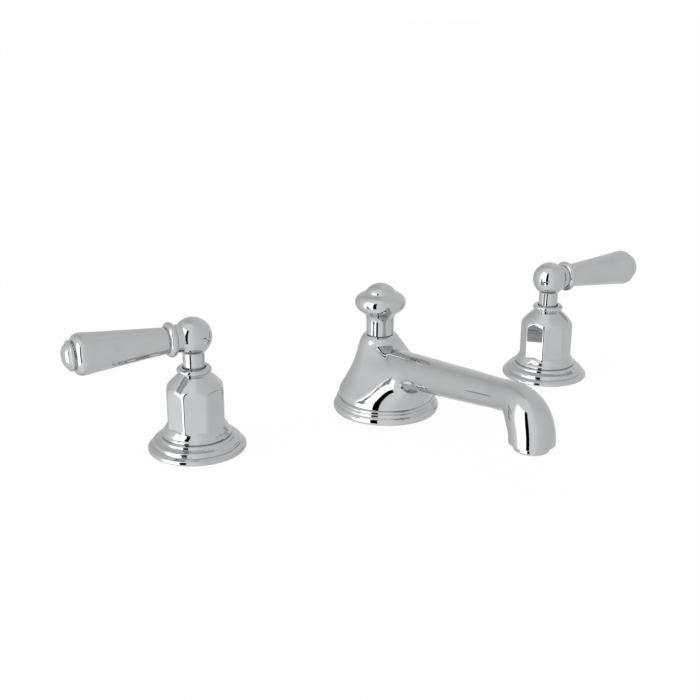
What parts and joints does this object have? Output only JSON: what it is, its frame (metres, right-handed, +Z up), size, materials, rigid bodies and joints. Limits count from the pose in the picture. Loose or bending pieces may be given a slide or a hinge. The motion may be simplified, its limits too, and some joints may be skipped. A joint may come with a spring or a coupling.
{
  "type": "widespread bathroom faucet",
  "caption": "Widespread basin faucet: low arched spout on a flared bell with a drain lift knob, and turned lever handles on eight-sided bonnets.",
  "frame": {"origin": "on the deck surface, under the centre of the spout's base ring", "axes": "+X towards the cold handle, -Y towards the user (the way the spout points), +Z up"},
  "size_m": [0.3606, 0.1691, 0.1807],
  "materials": {
    "chrome": "polished",
    "brass": "as machined",
    "steel": "zinc plated",
    "rubber": "matt",
    "ceramic": "lapped",
    "plastic": "moulded"
  },
  "bodies": {
    "root": {"aerator_insert": "plastic", "aerator_ring": "chrome", "cold_bonnet": "chrome", "cold_bonnet_collar": "chrome", "cold_cartridge": "brass", "cold_fixed_disc": "ceramic", "cold_flange": "chrome", "cold_flange_gasket": "rubber", "cold_locknut": "brass", "cold_rubber_washer": "rubber", "cold_seat_seal": "rubber", "cold_steel_washer": "steel", "cold_valve_body": "brass", "hot_bonnet": "chrome", "hot_bonnet_collar": "chrome", "hot_cartridge": "brass", "hot_fixed_disc": "ceramic", "hot_flange": "chrome", "hot_flange_gasket": "rubber", "hot_locknut": "brass", "hot_rubber_washer": "rubber", "hot_seat_seal": "rubber", "hot_steel_washer": "steel", "hot_valve_body": "brass", "spout_base_gasket": "rubber", "spout_base_ring": "chrome", "spout_body": "chrome", "spout_locknut": "brass", "spout_rubber_washer": "rubber", "spout_shank": "brass", "spout_steel_washer": "steel"},
    "hot_handle": {"hot_neck": "chrome", "hot_ball": "chrome", "hot_grub_screw": "steel", "hot_lever_collar": "chrome", "hot_lever": "chrome", "hot_finial": "chrome", "hot_moving_disc": "ceramic", "hot_spindle": "brass", "hot_o_ring": "rubber"},
    "cold_handle": {"cold_neck": "chrome", "cold_ball": "chrome", "cold_grub_screw": "steel", "cold_lever_collar": "chrome", "cold_lever": "chrome", "cold_finial": "chrome", "cold_moving_disc": "ceramic", "cold_spindle": "brass", "cold_o_ring": "rubber"},
    "lift": {"lift_knob": "chrome", "lift_rod": "brass"}
  },
  "joints": [
    {"name": "hot_lever_turn", "type": "hinge", "parent": "root", "child": "hot_handle", "pos_m": [-0.1143, 0, 0.0601], "axis": [0, 0, 1], "range_deg": [0, 90]},
    {"name": "cold_lever_turn", "type": "hinge", "parent": "root", "child": "cold_handle", "pos_m": [0.1143, 0, 0.0601], "axis": [0, 0, 1], "range_deg": [-90, 0]},
    {"name": "lift_rod_slide", "type": "slide", "parent": "root", "child": "lift", "axis": [0, 0, 1], "range_m": [0, 0.025]}
  ]
}
